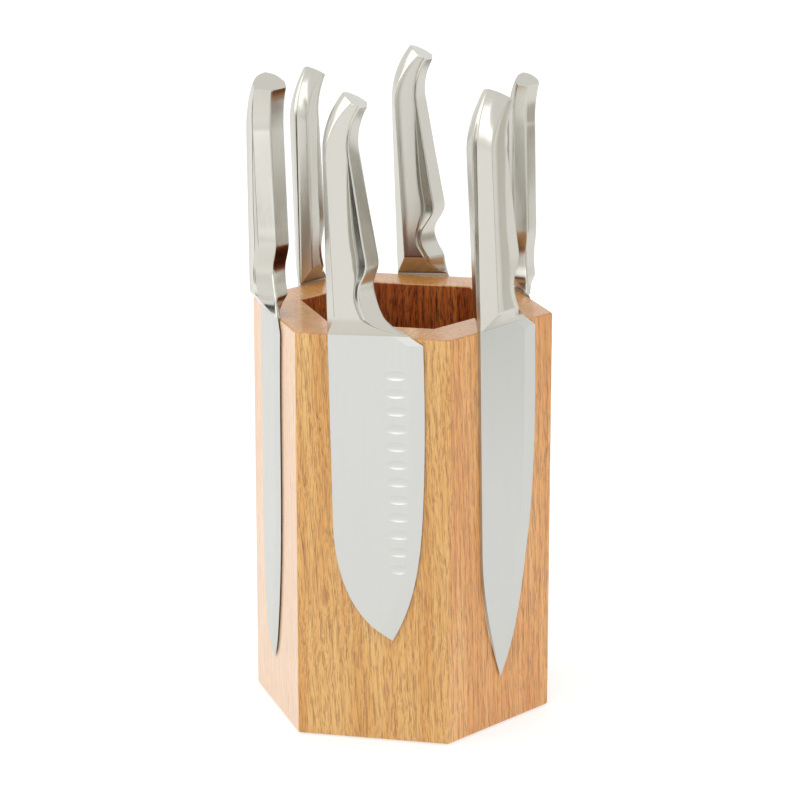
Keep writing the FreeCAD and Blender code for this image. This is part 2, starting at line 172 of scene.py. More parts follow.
def board_in_log(tree, side, pith, tilt):
    """Two places in millimetres: in the board's own part of the log, and among its rings as they grew."""
    place = add(tree, "ShaderNodeTexCoord")
    board = add(tree, "ShaderNodeMapping", {
        "Vector": place.outputs["Object"], "Rotation": (0, 0, -side * SIDE_TURN),
        "Scale": (1 / MM, 1 / MM, 1 / MM)})
    shifted = add(tree, "ShaderNodeVectorMath", {
        0: board.outputs[0], 1: [step * side for step in CUT_APART]}, operation="ADD")
    drift = wood_grain(tree, shifted.outputs[0], WANDER_ACROSS, WANDER_ALONG, Detail=2.0)
    centred = add(tree, "ShaderNodeVectorMath", {0: drift.outputs["Color"], 1: (0.5, 0.5, 0.5)},
                  operation="SUBTRACT")
    wander = add(tree, "ShaderNodeVectorMath", {0: centred.outputs[0], "Scale": WANDER / NOISE_REACH},
                 operation="SCALE")
    log = add(tree, "ShaderNodeMapping", {
        "Vector": board.outputs[0], "Location": (pith[0], pith[1], 0), "Rotation": (tilt[0], tilt[1], 0)})
    grown = add(tree, "ShaderNodeVectorMath", {0: log.outputs[0], 1: wander.outputs[0]}, operation="ADD")
    return shifted.outputs[0], grown.outputs[0]


print("each board lies", [round(step) for step in CUT_APART], "mm further through the log")

# %% [markdown]
# A year ring runs from porous early wood to dense late wood and stops short, so its wave is a saw and not
# a sine. The colour is then laid on as a finisher sees it: broad warm and pale zones first, long streaks
# over them, fibre lines and rings over those, and the open pores last.

# %% Rings, streaks and lines
def early_wood(tree, grown):
    """1 at the start of each year's growth, falling to 0 by half of it."""
    rings = add(tree, "ShaderNodeTexWave", {"Vector": grown, "Scale": WAVE_UNIT / RING_WIDTH},
                wave_type="RINGS", rings_direction="Z", wave_profile="SAW")
    early = add(tree, "ShaderNodeMapRange", {
        "Value": rings.outputs["Fac"], "From Min": 0.0, "From Max": 0.5, "To Min": 1.0, "To Max": 0.0},
        interpolation_type="SMOOTHSTEP")
    return early.outputs[0]


def ringed_wood(tree, shifted, grown, early, pale, warm, pore, contrast):
    """The wood's colour before its pores."""
    zones = wood_grain(tree, shifted, TONE_ACROSS, TONE_ALONG, Detail=2.0)
    zone = add(tree, "ShaderNodeMapRange", {
        "Value": zones.outputs["Fac"], "From Min": 0.35, "From Max": 0.65, "To Min": 0.15, "To Max": 0.8})
    tone = add(tree, "ShaderNodeMix", {0: zone.outputs[0], COLOUR_A: linear(pale), COLOUR_B: linear(warm)},
               data_type="RGBA")
    streaks = wood_grain(tree, shifted, STREAK_ACROSS, STREAK_ALONG, Detail=3.0, Roughness=0.6)
    streak = add(tree, "ShaderNodeMapRange", {
        "Value": streaks.outputs["Fac"], "From Min": 0.3, "From Max": 0.7,
        "To Min": 0.0, "To Max": STREAK_DEPTH * contrast})
    streaked = add(tree, "ShaderNodeMix", {
        0: streak.outputs[0], COLOUR_A: tone.outputs[COLOUR_OUT], COLOUR_B: linear(warm)},
        data_type="RGBA")
    lines = wood_grain(tree, grown, LINE_ACROSS, LINE_ALONG, Detail=3.0, Roughness=0.55)
    line = add(tree, "ShaderNodeMapRange", {
        "Value": lines.outputs["Fac"], "From Min": 0.49, "From Max": 0.59,
        "To Min": 0.0, "To Max": LINE_DEPTH * contrast}, interpolation_type="SMOOTHSTEP")
    shade = add(tree, "ShaderNodeMath", {0: early, 1: RING_DEPTH * contrast, 2: line.outputs[0]},
                operation="MULTIPLY_ADD")
    ringed = add(tree, "ShaderNodeMix", {
        0: shade.outputs[0], COLOUR_A: streaked.outputs[COLOUR_OUT], COLOUR_B: linear(pore)},
        data_type="RGBA")
    return ringed.outputs[COLOUR_OUT]


print("ring wave scale", round(WAVE_UNIT / RING_WIDTH, 4))

# %% Pores and lacquer
def open_pores(tree, grown, early):
    """Dashes along the grain, thickest where each ring starts."""
    specks = wood_grain(tree, grown, PORE_ACROSS, PORE_ALONG, Detail=1.0)
    dashes = add(tree, "ShaderNodeMapRange", {
        "Value": specks.outputs["Fac"], "From Min": 0.55, "From Max": 0.68, "To Min": 0.0, "To Max": 1.0},
        interpolation_type="SMOOTHSTEP")
    in_band = add(tree, "ShaderNodeMapRange", {
        "Value": early, "From Min": 0.0, "From Max": 1.0, "To Min": 0.4, "To Max": 1.0})
    pores = add(tree, "ShaderNodeMath", {0: dashes.outputs[0], 1: in_band.outputs[0]},
                operation="MULTIPLY")
    return pores.outputs[0]


def oak(name, side, pith, tilt, pale="#E0BA76", warm="#C98D40", pore="#784616", contrast=1.0,
        coat=0.5):
    """Oak for one board: pith is the log's centre across and behind the face, tilt its lean."""
    material, tree = new_material(name)
    shifted, grown = board_in_log(tree, side, pith, tilt)
    early = early_wood(tree, grown)
    wood = ringed_wood(tree, shifted, grown, early, pale, warm, pore, contrast)
    pores = open_pores(tree, grown, early)
    pore_shade = add(tree, "ShaderNodeMath", {0: pores, 1: PORE_DEPTH * contrast}, operation="MULTIPLY")
    colour = add(tree, "ShaderNodeMix", {0: pore_shade.outputs[0], COLOUR_A: wood, COLOUR_B: linear(pore)},
                 data_type="RGBA")
    # the lacquer sinks a little into the pores and lies smooth between them
    relief = add(tree, "ShaderNodeBump", {
        "Height": pores, "Strength": 0.35, "Distance": PORE_RELIEF * MM}, invert=True)
    satin = add(tree, "ShaderNodeMapRange", {
        "Value": pores, "From Min": 0.0, "From Max": 1.0, "To Min": 0.40, "To Max": 0.55})
    shader = add(tree, "ShaderNodeBsdfPrincipled", {
        "Base Color": colour.outputs[COLOUR_OUT], "Roughness": satin.outputs[0],
        "Normal": relief.outputs[0], "IOR": 1.5, "Coat Weight": coat, "Coat Roughness": 0.14})
    add(tree, "ShaderNodeOutputMaterial", {"Surface": shader.outputs[0]})
    return material


print("pores are drawn", PORE_ACROSS, "mm wide and", PORE_ALONG, "mm long")

# %% Oak for the faces, the insides and the end grain
# the pith's place across and behind each board, and its lean, choose the board's figure
BOARDS = {
    "front": {"pith": (52.0, 58.0), "tilt": (0.06, 0.04)},
    "front_right": {"pith": (-75.0, 40.0), "tilt": (0.02, 0.05), "pale": "#EEBC78", "warm": "#D28A3E"},
    "back_right": {"pith": (10.0, 45.0), "tilt": (-0.08, 0.0)},
    "back": {"pith": (-40.0, 50.0), "tilt": (0.07, -0.03)},
    "back_left": {"pith": (55.0, 35.0), "tilt": (0.04, 0.02)},
    # the left face's paler, pinker colours and faint grain are painted light: they stand for the key light's
    # sheen on that face
    "front_left": {"pith": (90.0, 20.0), "tilt": (0.02, 0.0), "pale": "#DEC0A2", "warm": "#D6AB83",
                   "contrast": 0.4},
}
oak_faces, oak_insides_painted_shade, oak_ends = {}, {}, {}
for number, side in enumerate(SIDES):
    grain = BOARDS[side]
    oak_faces[side] = oak("lacquered_oak_" + side, number, **grain)
    # the inside walls are drawn darker and redder than the faces: painted shade for the deep, narrow tube,
    # laid on the same oak grain
    oak_insides_painted_shade[side] = oak("oak_inside_painted_shade_" + side, number, grain["pith"], grain["tilt"],
                            pale="#E4863A", warm="#A0440C", pore="#421803", contrast=1.5)
    # end grain drinks the finish, so it is darker, and its lacquer is rubbed to a higher shine
    oak_ends[side] = oak("lacquered_end_grain_" + side, number, grain["pith"], grain["tilt"],
                         pale="#E2A85C", warm="#C88440", pore="#7A461C", contrast=0.8, coat=0.6)
oak_base = oak("oak_bottom", 0, (30.0, 70.0), (1.2, 0.1))
print(len(oak_faces), "oak faces, each from its own place in the log")

# %% [markdown]
# ## Stainless steel
# The handles are cast and welded steel, ground along their length and then polished to a satin. The blades
# are ground flat and brushed finer, so they return the room as an even pale grey. The grinding leaves fine
# lines along the steel. A noise stretched along the knife draws them, in the roughness more than in the
# relief, because the eye sees such lines as a streaky shine.

# %% Steel
BRUSH_ACROSS = 0.5       # real grinding lines are about 0.05 apart and are drawn coarser, so that they show
BRUSH_ALONG = 26.0
BRUSH_RELIEF = 0.01
CLOUD_ACROSS = 9.0       # a hand at the wheel leaves some patches brighter than others
CLOUD_ALONG = 30.0


def brushed_steel(name, colour, shade, roughness, across, along):
    """Ground and polished stainless steel, with its lines running up the knife."""
    material, tree = new_material(name)
    place = add(tree, "ShaderNodeTexCoord")
    lines_at = add(tree, "ShaderNodeMapping", {
        "Vector": place.outputs["Object"],
        "Scale": (1 / (across * MM), 1 / (across * MM), 1 / (along * MM))})
    lines = add(tree, "ShaderNodeTexNoise", {
        "Vector": lines_at.outputs[0], "Scale": 1.0, "Detail": 3.0, "Roughness": 0.65})
    cloud_at = add(tree, "ShaderNodeMapping", {
        "Vector": place.outputs["Object"],
        "Scale": (1 / (CLOUD_ACROSS * MM), 1 / (CLOUD_ACROSS * MM), 1 / (CLOUD_ALONG * MM))})
    cloud = add(tree, "ShaderNodeTexNoise", {"Vector": cloud_at.outputs[0], "Scale": 1.0, "Detail": 2.0})
    both = add(tree, "ShaderNodeMath", {0: lines.outputs["Fac"], 1: cloud.outputs["Fac"]}, operation="ADD")
    shine = add(tree, "ShaderNodeMapRange", {
        "Value": both.outputs[0], "From Min": 0.7, "From Max": 1.3,
        "To Min": roughness[0], "To Max": roughness[1]})
    tint = add(tree, "ShaderNodeMix", {
        0: lines.outputs["Fac"], COLOUR_A: linear(shade), COLOUR_B: linear(colour)}, data_type="RGBA")
    relief = add(tree, "ShaderNodeBump", {
        "Height": lines.outputs["Fac"], "Strength": 0.06, "Distance": BRUSH_RELIEF * MM})
    shader = add(tree, "ShaderNodeBsdfPrincipled", {
        "Base Color": tint.outputs[COLOUR_OUT], "Metallic": 1.0, "Roughness": shine.outputs[0],
        "Normal": relief.outputs[0]})
    add(tree, "ShaderNodeOutputMaterial", {"Surface": shader.outputs[0]})
    return material


handle_steel = brushed_steel("satin_polished_stainless_handle", "#CCCAC1", "#C4C2B9", (0.18, 0.26),
                             BRUSH_ACROSS, BRUSH_ALONG)
blade_steel = brushed_steel("fine_brushed_stainless_blade", "#CCCDC9", "#C6C7C3", (0.32, 0.40),
                            BRUSH_ACROSS, 2 * BRUSH_ALONG)
print("steels:", handle_steel.name, blade_steel.name)

# %% [markdown]
# ## The hidden pieces
# The magnets are nickel-plated, the keepers and screws are zinc-plated, and the foot is a sheet of black
# rubber. They hardly show, but a knife block that is turned over should still look real. Plating and
# rubber have a grain with no direction, so plain noise draws it.

# %% Plating and rubber
SHINE_SPREAD = 0.06      # the grain makes the surface this much shinier and duller in turn


def fine_grained(name, colour, shade, size, roughness, metallic, depth):
    """Finish with an even grain of one size in millimetres: plating, or moulded rubber."""
    material, tree = new_material(name)
    place = add(tree, "ShaderNodeTexCoord")
    grain = add(tree, "ShaderNodeTexNoise", {
        "Vector": place.outputs["Object"], "Scale": 1 / (size * MM), "Detail": 3.0})
    tint = add(tree, "ShaderNodeMix", {
        0: grain.outputs["Fac"], COLOUR_A: linear(shade), COLOUR_B: linear(colour)}, data_type="RGBA")
    shine = add(tree, "ShaderNodeMapRange", {
        "Value": grain.outputs["Fac"], "From Min": 0.3, "From Max": 0.7,
        "To Min": roughness - SHINE_SPREAD, "To Max": roughness + SHINE_SPREAD})
    relief = add(tree, "ShaderNodeBump", {
        "Height": grain.outputs["Fac"], "Strength": 0.4, "Distance": depth * MM})
    shader = add(tree, "ShaderNodeBsdfPrincipled", {
        "Base Color": tint.outputs[COLOUR_OUT], "Metallic": metallic, "Roughness": shine.outputs[0],
        "Normal": relief.outputs[0]})
    add(tree, "ShaderNodeOutputMaterial", {"Surface": shader.outputs[0]})
    return material


nickel = fine_grained("nickel_plated_magnet", "#C9C3B6", "#B5AFA2", 1.2, 0.28, 1.0, 0.01)
zinc = fine_grained("zinc_plated_steel", "#C6CBD2", "#A9B0BA", 2.5, 0.36, 1.0, 0.01)
rubber = fine_grained("black_rubber_pad", "#2C2B2A", "#1D1C1C", 0.8, 0.82, 0.0, 0.05)
print("hidden finishes:", nickel.name, zinc.name, rubber.name)

# %% [markdown]
# The blades, the magnets and the other plain pieces stay as the model has them, and only get their finish.
# Their meshes already hold every hollow and tooth, so drawing them again would gain nothing.

# %% Give the model's own pieces their finish
def finish_with(node, material):
    """Puts one material on a piece of the model."""
    mesh = frame["nodes"][node].data
    mesh.materials.clear()
    mesh.materials.append(material)


for side in SIDES:
    finish_with("magnets_" + side, nickel)
    finish_with("keeper_plate_" + side, zinc)
    # the channel covers face the inside of the tube and take the inside oak with its painted shade
    finish_with("channel_cover_" + side, oak_insides_painted_shade[side])
finish_with("base_board", oak_base)
finish_with("base_screws", zinc)
finish_with("base_pad", rubber)
KNIVES = [name for name in frame["bodies"] if name != "block"]
for knife in KNIVES:
    finish_with(knife + "_blade", blade_steel)
print("finished", 3 * len(SIDES) + 3 + len(KNIVES), "pieces of the model")

# %% [markdown]
# ## Boards with eased edges
# A joiner glues the six boards up, then eases every edge with sandpaper. A dead sharp edge is the first
# thing that looks false in a picture, because nothing on it catches the light. A Bevel modifier would
# groove the mitres too, so the board is drawn as a stack of level outlines instead. Each one runs round
# the eased corner as far as the mitre, where the next board takes over.

# %% Board sizes
CORNER_EASE = 1.6        # radius of the upright corners
TOP_EASE = 1.3           # radius of the long edges at the top and the foot
INNER_EASE = 0.7
EASE_STEPS = 5
CHANNEL_SKIN = 3.0       # wood between the magnets and the knife
SCREW_HOLE = 1.8
SCREW_RISE = 16.0
DRILL_SIDES = 16
TOOL_REACH = 1.0         # a router or a drill starts this far outside the wood
CHANNEL_CLEARANCE = 0.15
HALF_CHANNEL = cover_high.x / MM + CHANNEL_CLEARANCE
END_GRAIN_TILT = 0.7     # a face is end grain if it looks up or down more than this
HAIR = 0.01              # allowance for rounding when two heights or depths are compared
BOARD_CREASE = 32        # degrees: a sharper turn than this stays crisp
print("channel", round(2 * HALF_CHANNEL, 1), "wide, walls", round(APOTHEM - INNER_APOTHEM, 1), "thick")

# %% Board outline and levels
def board_outline(outer_inset, inner_apothem):
    """Points round one board at one level, front corner arcs first, drawn in by an inset."""
    radius = CORNER_EASE - outer_inset
    centre = APOTHEM - CORNER_EASE
    slope = math.tan(SIDE_TURN / 2)
    points = []
    for step in range(EASE_STEPS + 1):
        angle = SIDE_TURN / 2 * (1 - step / EASE_STEPS)
        points.append((-centre * slope - radius * math.sin(angle), -centre - radius * math.cos(angle)))
    points += [(-x, y) for x, y in reversed(points)]
    points += [(inner_apothem * slope, -inner_apothem), (-inner_apothem * slope, -inner_apothem)]
    return points


def board_levels():
    """Heights from the foot to the top with their insets, rounding over at both ends."""
    levels = []
    for step in range(EASE_STEPS + 1):
        angle = math.pi / 2 * step / EASE_STEPS
        inset, rise = TOP_EASE * (1 - math.sin(angle)), TOP_EASE * (1 - math.cos(angle))
        levels.append((BLOCK_FOOT + rise, inset, REBATE_APOTHEM))
    levels.append((BASE_TOP, 0, REBATE_APOTHEM))
    levels.append((BASE_TOP, 0, INNER_APOTHEM))
    for step in range(EASE_STEPS + 1):
        angle = math.pi / 2 * step / EASE_STEPS
        inset, rise = TOP_EASE * (1 - math.cos(angle)), TOP_EASE * math.sin(angle)
        share = max(0, 1 - (TOP_EASE - rise) / INNER_EASE)
        inner = INNER_EASE * (1 - math.sqrt(1 - share ** 2))
        levels.append((BLOCK_TOP - TOP_EASE + rise, inset, INNER_APOTHEM + inner))
    return levels


print("board outline:", len(board_outline(0, INNER_APOTHEM)), "points at", len(board_levels()), "levels")

# %% [markdown]
# Three tools do the rest of the joinery. The loft skins a stack of outlines. The cut is a Boolean, as
# nothing else makes a clean slot or hole in a finished solid. The polish gives smooth shading with crisp
# edges, and weights the normals by area so that flat faces look flat right up to their rounded rims.

# %% Loft, polish and cut
def loft(name, rings):
    """Closed mesh through a list of rings that have the same number of points each."""
    mesh = bmesh.new()
    rows = [[mesh.verts.new([c * MM for c in point]) for point in ring] for ring in rings]
    count = len(rows[0])
    for lower, upper in zip(rows, rows[1:]):
        for i in range(count):
            j = (i + 1) % count
            mesh.faces.new((lower[i], lower[j], upper[j], upper[i]))
    mesh.faces.new(list(reversed(rows[0])))
    mesh.faces.new(rows[-1])
    bmesh.ops.recalc_face_normals(mesh, faces=mesh.faces)
    data = bpy.data.meshes.new(name)
    mesh.to_mesh(data)
    mesh.free()
    piece = bpy.data.objects.new(name, data)
    bpy.context.scene.collection.objects.link(piece)
    return piece


def polish(piece, sharp_degrees):
    """Smooth shading with crisp edges, where big flat faces keep their own direction. Applies modifiers."""
    even = piece.modifiers.new("even", "WEIGHTED_NORMAL")
    even.keep_sharp = True
    piece.data.shade_smooth()
    piece.data.set_sharp_from_angle(angle=math.radians(sharp_degrees))
    bpy.context.view_layer.update()
    done = piece.evaluated_get(bpy.context.evaluated_depsgraph_get())
    piece.data = bpy.data.meshes.new_from_object(done)
    piece.modifiers.clear()


def cut(piece, tool):
    """Cuts a tool's shape out of a piece, then throws the tool away."""
    saw = piece.modifiers.new("saw", "BOOLEAN")
    saw.operation = "DIFFERENCE"
    saw.solver = "EXACT"
    saw.object = tool
    bpy.context.view_layer.update()
    done = piece.evaluated_get(bpy.context.evaluated_depsgraph_get())
    piece.data = bpy.data.meshes.new_from_object(done)
    piece.modifiers.clear()
    bpy.data.objects.remove(tool)


print("tools ready:", loft.__name__, polish.__name__, cut.__name__)

# %% Saw, cut and turn the six boards
def channel_tool():
    """The slot that a router cuts for the magnets, from inside the tube."""
    deep, open_side = -(APOTHEM - CHANNEL_SKIN), -(INNER_APOTHEM - TOOL_REACH)
    flat = [(-HALF_CHANNEL, deep), (HALF_CHANNEL, deep), (HALF_CHANNEL, open_side),
            (-HALF_CHANNEL, open_side)]
    low, high = cover_low.z / MM - CHANNEL_CLEARANCE, cover_high.z / MM + CHANNEL_CLEARANCE
    return loft("router", [[(x, y, z) for x, y in flat] for z in (low, high)])


def drill_tool():
    """The pilot hole for the screw that comes up through the bottom."""
    rings = []
    across = -(INNER_APOTHEM + REBATE_APOTHEM) / 2
    for z in (BASE_TOP - TOOL_REACH, BASE_TOP + SCREW_RISE - TOOL_REACH):
        ring = []
        for i in range(DRILL_SIDES):
            angle = math.tau * i / DRILL_SIDES
            ring.append((SCREW_HOLE * math.cos(angle), across + SCREW_HOLE * math.sin(angle), z))
        rings.append(ring)
    return loft("drill", rings)


for number, side in enumerate(SIDES):
    levels = board_levels()
    rings = [[(x, y, z) for x, y in board_outline(inset, inner)] for z, inset, inner in levels]
    board = loft("oak_board_" + side, rings)
    cut(board, channel_tool())
    cut(board, drill_tool())
    board.data.materials.clear()
    board.data.materials.append(oak_faces[side])
    # the second slot is the inside oak, darkened with painted shade
    board.data.materials.append(oak_insides_painted_shade[side])
    board.data.materials.append(oak_ends[side])
    for face in board.data.polygons:
        end = abs(face.normal.z) > END_GRAIN_TILT
        within = -face.center.y / MM < INNER_APOTHEM + HAIR
        face.material_index = 2 if end else 1 if within else 0
    polish(board, BOARD_CREASE)
    board.data.transform(Matrix.Rotation(number * SIDE_TURN, 4, "Z"))
    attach(board, "block")
    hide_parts("wall_board_" + side)
print("boards:", len(board.data.polygons), "faces each")

# %% [markdown]
# ## Handles
# Each handle is a hollow steel casting with long flat facets: a narrow spine, a bevel on each side of it,
# a broad flat for the fingers, a shallow flute, and a crisp ridge where the belly turns in. Towards the
# blade all of them run out into a ramp, and towards the butt the whole bar hooks over and its spine swells
# round. Sculpting would lose the straight lines, so the handle is a loft. One function draws the section
# at any height with its corners just broken, and smooth curves through a few named sizes say how the width
# and thickness change from blade to butt.

# %% Handle sizes
BROAD = {
    "length": 131.2, "thickness": 18.0, "hook_start": 98.0, "hook_turn": 40.0, "butt_tilt": 33.0,
    "ramp_height": 10.5, "ramp_width": 30.6, "finger_height": 28.0, "finger_width": 25.8,
    "palm_height": 40.0, "palm_width": 28.8, "neck_width": 20.1, "butt_width": 14.9,
    "spine_flat": 3.5, "foot_spine": 6.2, "butt_spine": 3.4, "foot_bevel": 7.5, "finger_bevel": 6.0,
    "palm_bevel": 4.8, "butt_bevel": 3.7, "foot_flute": 3.0, "palm_flute": 7.6, "butt_flute": 1.6,
}
LONG = dict(BROAD, length=132.4, hook_start=100.0, ramp_width=27.7, finger_height=25.5, finger_width=22.4)
SMALL = {
    "length": 124.0, "thickness": 13.4, "hook_start": 94.0, "hook_turn": 40.0, "butt_tilt": 33.0,
    "ramp_height": 9.0, "ramp_width": 18.6, "finger_height": 22.5, "finger_width": 16.4,
    "palm_height": 37.0, "palm_width": 18.8, "neck_width": 15.6, "butt_width": 11.0,
    "spine_flat": 2.6, "foot_spine": 4.4, "butt_spine": 2.6, "foot_bevel": 4.8, "finger_bevel": 4.1,
    "palm_bevel": 3.3, "butt_bevel": 2.7, "foot_flute": 1.8, "palm_flute": 4.0, "butt_flute": 1.1,
}
BLADE_HALF = 1.0
SEAT_GAP = 0.4           # the weld line stands this far above the wood
# where each knife sits: side counted from the front, hand (+1 if the edge is on the viewer's right), spine's
# place across the face, lean and cant in degrees, width at the weld, handle
SEATS = {
    "santoku": (0, 1, -24.0, 1.3, 0.0, 44.0, BROAD),
    "cooks_knife": (1, 1, -20.4, 1.4, 1.2, 39.8, BROAD),
    "paring_knife": (2, -1, 20.0, 1.0, 0.0, 21.0, SMALL),
    "bread_knife": (3, -1, 18.2, 2.0, 0.0, 29.5, LONG),
    "utility_knife": (4, -1, 4.3, 1.5, 0.0, 22.0, SMALL),
    "carving_knife": (5, 1, -18.6, 0.5, 0.0, 31.0, LONG),
}
print("handles:", [round(handle["length"]) for handle in (BROAD, LONG, SMALL)], "mm long")

# %% [markdown]
# Widths and bevels are known at a handful of heights, and a curve joins them. A plain spline would swing
# past its points where they are uneven, and the steel would look dented. This curve takes its slope at each
# point from both neighbours and lies flat at a peak, so it never overshoots.

# %% Smooth curves
def through(keys, at):
    """Value at a height on a smooth curve through (height, value) pairs."""
    last = len(keys) - 2
    k = max(i for i in range(last + 1) if i == 0 or keys[i][0] <= at)
    (x0, y0), (x1, y1) = keys[k], keys[k + 1]
    own = (y1 - y0) / (x1 - x0)

    def slope(i):
        if i in (0, len(keys) - 1):
            return own
        before = (keys[i][1] - keys[i - 1][1]) / (keys[i][0] - keys[i - 1][0])
        after = (keys[i + 1][1] - keys[i][1]) / (keys[i + 1][0] - keys[i][0])
        return 0.0 if before * after <= 0 else 2 * before * after / (before + after)

    t, span = (at - x0) / (x1 - x0), x1 - x0
    start, end = slope(k) * span, slope(k + 1) * span
    return (y0 * (1 + 2 * t) * (1 - t) ** 2 + start * t * (1 - t) ** 2
            + y1 * t * t * (3 - 2 * t) - end * t * t * (1 - t))


print("a curve from 0 to 10 passes", through([(0, 0), (10, 10)], 5), "halfway")

# %% Broken corners
CORNER_STEPS = 4
TINY = 1e-6              # keeps a division by a length of nothing from failing
SIDE_SHARE = 0.46        # a rounding takes at most this much of a side, so two never meet


def broken(corners):
    """Closed outline with each corner (x, y, reach) rounded back by its reach along both sides."""
    points = []
    count = len(corners)
    for i, (x, y, reach) in enumerate(corners):
        here = Vector((x, y))
        ends = []
        for other in (corners[i - 1], corners[(i + 1) % count]):
            away = Vector(other[:2]) - here
            ends.append(here + away * min(reach / max(away.length, TINY), SIDE_SHARE))
        for step in range(CORNER_STEPS + 1):
            t = step / CORNER_STEPS
            point = ends[0] * (1 - t) ** 2 + here * 2 * t * (1 - t) + ends[1] * t * t
            points.append((point.x, point.y))
    return points


print("a broken square has", len(broken([(0, 0, 1), (9, 0, 1), (9, 9, 1), (0, 9, 1)])), "points")

# %% One section of a handle
EDGE_BREAK = 0.45        # how far the wheel takes a crisp edge back
CREST_BREAK = 0.8        # the belly's crest is worn rounder, and draws a bright line
SPINE_BREAK = 0.9
BELLY_BREAK = 1.1
SPINE_BOW = 4.0          # the bevel beside the spine is a soft bow
BUTT_BREAK = 2.5         # how much rounder its crest is at the butt
HOLLOW_GRIND = 0.3       # the broad side is ground this much hollow beside the spine's crest
HOLLOW_SHARE = 0.3
HOLLOW_BREAK = 1.5
FLUTE_SLOPE = 0.36       # depth of the flute as a share of its width
FLUTE_FALL = 0.22        # where it is deepest, as a share of its width
BELLY_FLAT = 0.25        # half the width of the flat that is left along the belly
THIN = 0.05              # facets shrink to this at the weld, and don't vanish
# at the butt the spine's flat narrows, and its bevel spreads and swells into a dome
BUTT_NARROWS = 0.7
BUTT_SPREAD = 1.35
DOME_SHIFT = 0.22
DOME_SWELL = 0.08


def section(handle, width, half, spine_bevel, belly_bevel, flute, swell):
    """Outline across a handle: distance from the spine, distance from the middle plane."""
    full = (half - BLADE_HALF) / (handle["thickness"] / 2 - BLADE_HALF)
    flat = (BLADE_HALF + full * (handle["spine_flat"] / 2 - BLADE_HALF)) * (1 - BUTT_NARROWS * swell)
    crest = max(spine_bevel * full, THIN) * (1 + BUTT_SPREAD * swell)
    ridge = width - belly_bevel
    side = half - HOLLOW_GRIND * full * (1 - swell)
    middle = (crest * (0.5 - DOME_SHIFT * swell), flat + (half - flat) * (0.5 + DOME_SWELL * swell))
    upper = [
        (0, flat, SPINE_BREAK),
        (*middle, SPINE_BOW),
        (crest, half, EDGE_BREAK + BUTT_BREAK * swell),
        (crest + HOLLOW_SHARE * (ridge - flute - crest), side, HOLLOW_BREAK),
        (ridge - flute, side, EDGE_BREAK),
        (ridge - (1 - FLUTE_FALL) * flute, half - FLUTE_SLOPE * flute, 0.5 * EDGE_BREAK),
        (ridge, half, CREST_BREAK),
        (width, BLADE_HALF * (1 - full) + BELLY_FLAT * full, BELLY_BREAK),
    ]
    lower = [(x, -y, reach) for x, y, reach in reversed(upper)]
    return broken(upper + lower)


palm_section = section(BROAD, BROAD["palm_width"], BROAD["thickness"] / 2, BROAD["foot_spine"],
                       BROAD["palm_bevel"], BROAD["palm_flute"], 0)
print("a section has", len(palm_section), "points")

# %% [markdown]
# The belly's bevel is widest at the foot and the flute is widest at the palm. The blade's width flares out
# of the ramp, the finger notch follows, then the palm swells and the bar narrows towards the hook.

# %% How a handle's sizes change up its length
# two heights up the ramp, and the share of the blade's extra width left there
FLARE_LOW, FLARE_LOW_LEFT = 0.3, 0.58
FLARE_HIGH, FLARE_HIGH_LEFT = 0.65, 0.23
# a height above the palm, with the shares of the width and of the flute gone and left there
SWELL_TOP, SWELL_GONE, FLUTE_LEFT = 0.18, 0.16, 0.97
PALM_SHARE = 0.7         # halfway to the hook the flute is still more the palm's than the butt's


def handle_curves(handle, weld_width):
    """(height, size) pairs for the width, the belly's bevel and the flute, from weld to hook."""
    ramp, hook = handle["ramp_height"], handle["hook_start"]
    finger, palm = handle["finger_height"], handle["palm_height"]
    low, high, knuckle = FLARE_LOW * ramp, FLARE_HIGH * ramp, (ramp + finger) / 2
    notch, swell_top, middle = (finger + palm) / 2, palm + SWELL_TOP * (hook - palm), (palm + hook) / 2
    foot_width, palm_width, neck_width = handle["ramp_width"], handle["palm_width"], handle["neck_width"]
    flare = weld_width - foot_width
    foot, foot_flute = handle["foot_bevel"], handle["foot_flute"]
    palm_bevel, butt_bevel = handle["palm_bevel"], handle["butt_bevel"]
    palm_flute, butt_flute = handle["palm_flute"], handle["butt_flute"]
    widths = [
        (0, weld_width), (low, foot_width + FLARE_LOW_LEFT * flare),
        (high, foot_width + FLARE_HIGH_LEFT * flare), (ramp, foot_width),
        (knuckle, (foot_width + 2 * handle["finger_width"]) / 3), (finger, handle["finger_width"]),
        (palm, palm_width), (swell_top, palm_width - SWELL_GONE * (palm_width - neck_width)),
        (middle, (palm_width + neck_width) / 2), (hook, neck_width),
    ]
    bevels = [
        (0, THIN), (low, FLARE_HIGH * foot), (high, foot), (knuckle, foot),
        (finger, handle["finger_bevel"]), (notch, palm_bevel), (palm, palm_bevel), (swell_top, palm_bevel),
        (middle, (palm_bevel + butt_bevel) / 2), (hook, butt_bevel),
    ]
    flutes = [
        (0, THIN), (high, FLARE_HIGH * foot_flute), (ramp, foot_flute), (finger, foot_flute),
        (notch, (foot_flute + palm_flute) / 2), (palm, palm_flute), (swell_top, FLUTE_LEFT * palm_flute),
        (middle, PALM_SHARE * palm_flute + (1 - PALM_SHARE) * butt_flute), (hook, butt_flute),
    ]
    return widths, bevels, flutes


print("sizes known at", len(handle_curves(BROAD, BROAD["ramp_width"])[0]), "heights")

# %% Set an outline in space
def ring(spine, across, outline, inset=0.0):
    """One outline set in space, drawn in by an inset."""
    points = []
    centre = sum(p[0] for p in outline) / len(outline)
    for along, depth in outline:
        away = Vector((along - centre, depth))
        away *= 1 - inset / max(away.length, inset + TINY)
        points.append(spine + across * (centre + away.x) + Vector((0, away.y, 0)))
    return points


print("the palm's ring:", len(ring(Vector((0, 0, 40)), Vector((1, 0, 0)), palm_section)), "points")

# %% The straight part, from the weld to the hook
STRAIGHT_STEPS = 72
CROWDING = 0.65          # how strongly the sections crowd towards the foot, where the shape bends most
WELD_GROOVE = 0.10       # the weld is ground back almost flush, and leaves a faint line


